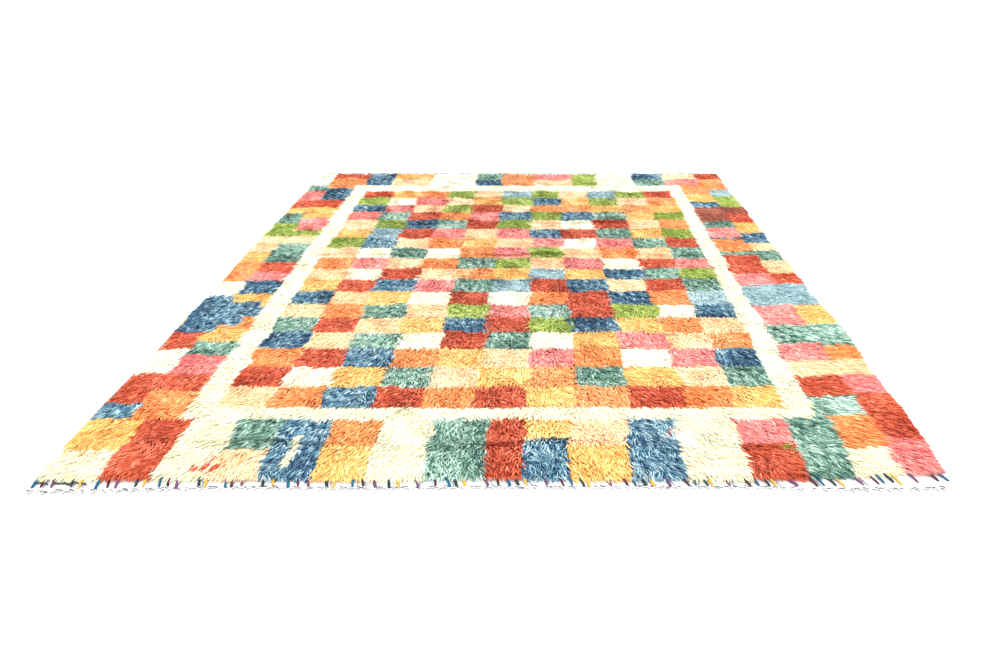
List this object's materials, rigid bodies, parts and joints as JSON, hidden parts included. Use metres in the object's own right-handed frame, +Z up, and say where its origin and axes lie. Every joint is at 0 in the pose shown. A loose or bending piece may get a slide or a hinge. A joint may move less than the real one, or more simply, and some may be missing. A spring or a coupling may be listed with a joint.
{
  "type": "berber rug",
  "caption": "Hand-knotted wool shag rug: a patchwork of plain colour blocks in a cream frame, with flat-woven ends, short knotted fringes and overcast sides.",
  "frame": {"origin": "middle of the rug's underside, on the floor", "axes": "+X to the right and +Y to the far end as the picture shows it, along the rug's length; +Z up. The pile lies over towards -Y"},
  "size_m": [2.5662, 3.0288, 0.0254],
  "materials": {
    "pile_wool": "hand-knotted wool pile in many plain dyes, lying over towards the near end",
    "web_cotton": "undyed cotton, plain woven, with knotted warp ends",
    "overcast_wool": "wool yarn wound closely over the edge warps"
  },
  "bodies": {
    "root": {"pile_slab": "pile_wool", "fringe_near": "web_cotton", "fringe_far": "web_cotton", "selvedge_left": "overcast_wool", "selvedge_right": "overcast_wool"}
  },
  "joints": []
}
